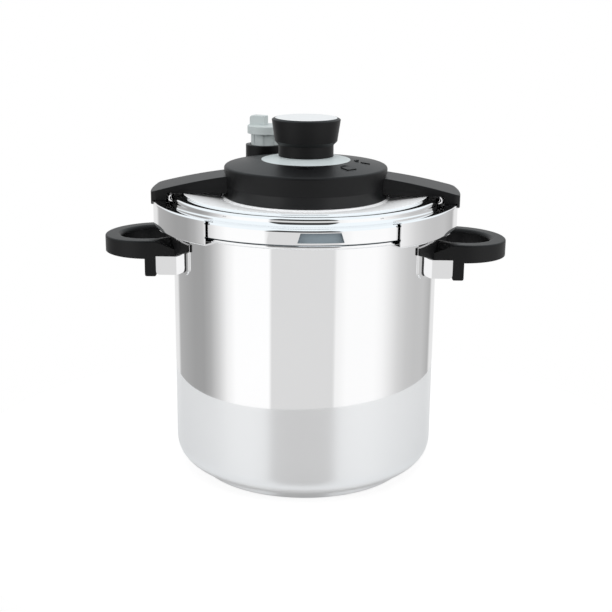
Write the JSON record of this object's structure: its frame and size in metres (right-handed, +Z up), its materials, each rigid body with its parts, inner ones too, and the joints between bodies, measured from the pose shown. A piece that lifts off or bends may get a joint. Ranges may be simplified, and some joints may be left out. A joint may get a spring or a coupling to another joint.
{
  "type": "stovetop pressure cooker",
  "caption": "Polished steel stovetop pressure cooker with a knob-driven jaw clamp lid, loop handles and a rotary steam valve",
  "frame": {"origin": "centre of the flat underside, on the surface that the pot stands on", "axes": "+Z up, +X through the right handle and jaw, -Y towards the viewer of the picture"},
  "size_m": [0.3424, 0.251, 0.303],
  "materials": {
    "polished_steel": "mirror polished steel",
    "plain_steel": "plain mill steel",
    "base_aluminium": "plain",
    "valve_brass": "turned",
    "black_plastic": "black moulded plastic with a fine sheen",
    "grey_plastic": "cool grey moulded",
    "pale_plastic": "pale, smooth",
    "grey_rubber": "silicone, satin",
    "dark_rubber": "satin"
  },
  "bodies": {
    "pot": {"pot_body": "polished_steel", "base_cap": "polished_steel", "base_core": "base_aluminium", "right_handle": "black_plastic", "left_handle": "black_plastic", "right_handle_bracket": "polished_steel", "left_handle_bracket": "polished_steel", "handle_screws": "plain_steel"},
    "lid": {"lid_shell": "polished_steel", "gasket": "grey_rubber", "centre_post": "plain_steel", "guide_plate": "plain_steel", "guide_nut": "plain_steel", "housing_base": "black_plastic", "housing_cover": "black_plastic", "housing_screws": "plain_steel", "dial_ring": "grey_plastic", "knob_washer": "plain_steel", "knob_screw": "plain_steel", "valve_stem": "valve_brass", "valve_collar": "black_plastic", "valve_nut": "valve_brass", "valve_spring": "plain_steel", "indicator_seal": "dark_rubber", "safety_body": "valve_brass", "safety_nut": "valve_brass", "safety_cap": "valve_brass", "safety_spring": "plain_steel"},
    "knob_group": {"knob": "black_plastic", "knob_cap": "pale_plastic", "cam_plate": "plain_steel"},
    "right_arm": {"right_slide": "plain_steel", "right_follower_pin": "plain_steel", "right_arm_cover": "black_plastic", "right_cover_screws": "plain_steel", "right_jaw": "polished_steel", "right_jaw_rivets": "plain_steel"},
    "left_arm": {"left_slide": "plain_steel", "left_follower_pin": "plain_steel", "left_arm_cover": "black_plastic", "left_cover_screws": "plain_steel", "left_jaw": "polished_steel", "left_jaw_rivets": "plain_steel"},
    "selector": {"valve_selector": "grey_plastic"},
    "poppet": {"valve_poppet": "plain_steel"},
    "indicator": {"indicator_pin": "plain_steel"},
    "ball": {"safety_ball": "plain_steel"}
  },
  "joints": [
    {"name": "lid_lift", "type": "slide", "parent": "pot", "child": "lid", "axis": [0, 0, 1], "range_m": [0, 0.15]},
    {"name": "knob_turn", "type": "hinge", "parent": "lid", "child": "knob_group", "pos_m": [0, 0, 0.2712], "axis": [0, 0, 1], "range_deg": [0, 90]},
    {"name": "right_jaw_slide", "type": "slide", "parent": "lid", "child": "right_arm", "axis": [1, 0, 0], "range_m": [0, 0.014]},
    {"name": "left_jaw_slide", "type": "slide", "parent": "lid", "child": "left_arm", "axis": [-1, 0, 0], "range_m": [0, 0.014]},
    {"name": "valve_turn", "type": "hinge", "parent": "lid", "child": "selector", "pos_m": [-0.03896, 0.07712, 0.2695], "axis": [0, 0, 1], "range_deg": [0, 120]},
    {"name": "poppet_lift", "type": "slide", "parent": "lid", "child": "poppet", "axis": [0, 0, 1], "range_m": [0, 0.003], "stiffness_N_per_m": 300, "deforming": ["valve_spring"]},
    {"name": "indicator_rise", "type": "slide", "parent": "lid", "child": "indicator", "axis": [0, 0, 1], "range_m": [0, 0.005]},
    {"name": "safety_lift", "type": "slide", "parent": "lid", "child": "ball", "axis": [0, 0, 1], "range_m": [0, 0.0015], "stiffness_N_per_m": 800, "deforming": ["safety_spring"]}
  ],
  "couplings": [
    {"joint": "right_jaw_slide", "follows": "knob_turn", "m_per_rad": 0.0089126},
    {"joint": "left_jaw_slide", "follows": "knob_turn", "m_per_rad": 0.0089126}
  ]
}
